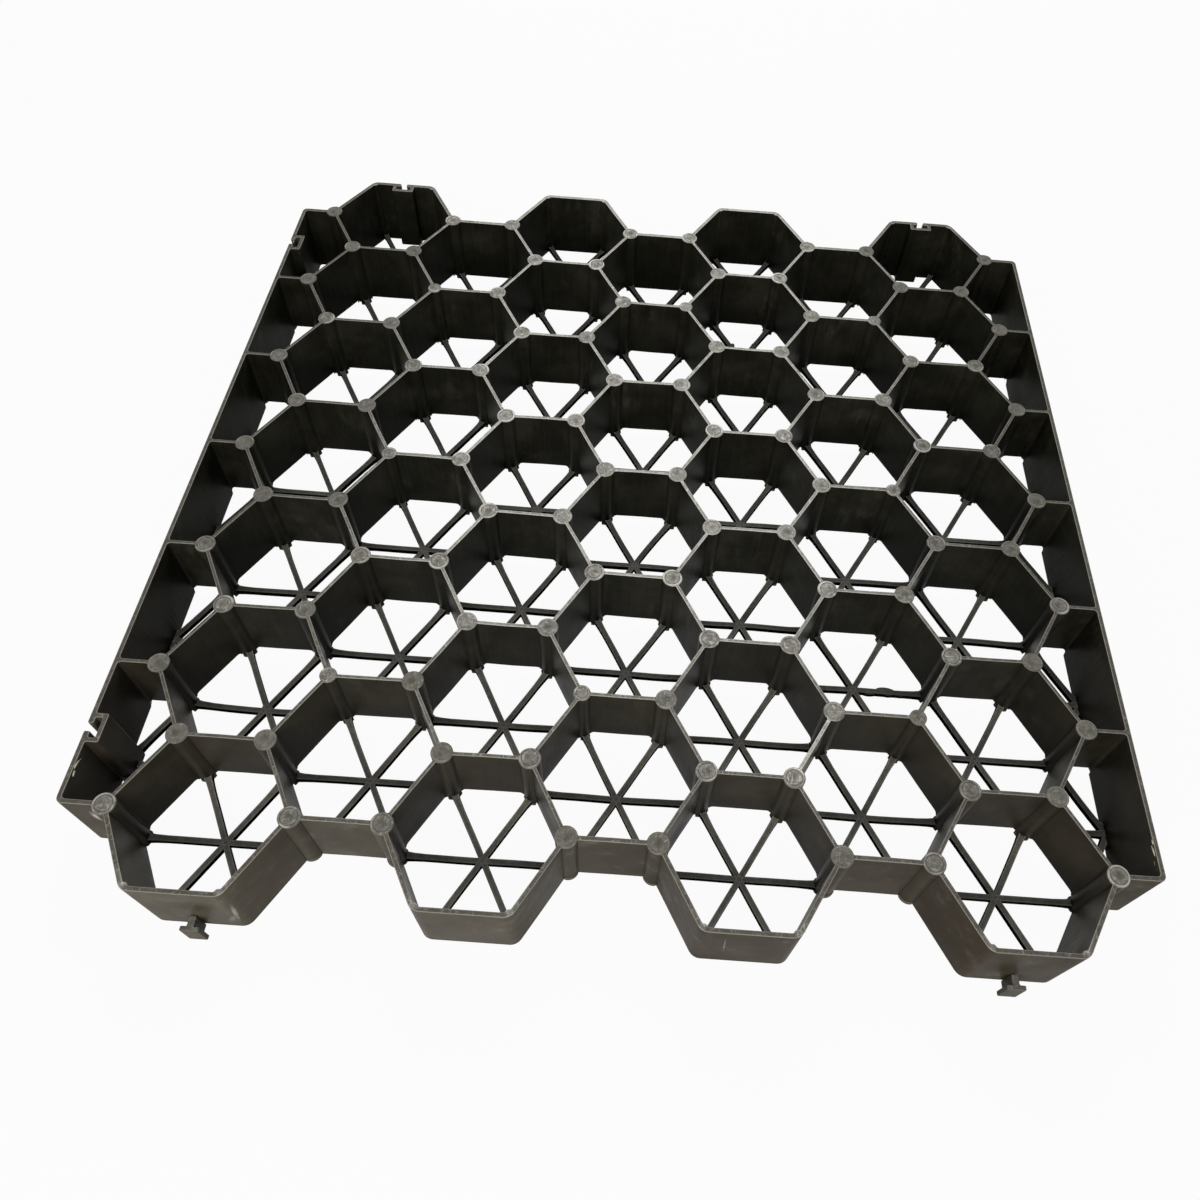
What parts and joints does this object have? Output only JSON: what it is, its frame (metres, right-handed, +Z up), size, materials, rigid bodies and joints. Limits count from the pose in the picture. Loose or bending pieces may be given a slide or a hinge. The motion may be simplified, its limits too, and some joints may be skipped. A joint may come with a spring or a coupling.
{
  "type": "ground reinforcement grid",
  "caption": "One-piece honeycomb panel of upright plastic walls with round posts, low spokes across each open cell, and tabs and slots for coupling.",
  "frame": {"origin": "centre of the panel on its base, under the middle of the central wall", "axes": "+X across the columns of cells, towards a side edge that carries tabs; +Y along the columns, towards the end with slots; +Z up"},
  "size_m": [0.5096, 0.5146, 0.047],
  "materials": {
    "panel_plastic": "near-black satin moulded plastic, scuffed grey on the top edges"
  },
  "bodies": {
    "root": {"grid_panel": "panel_plastic"}
  },
  "joints": []
}
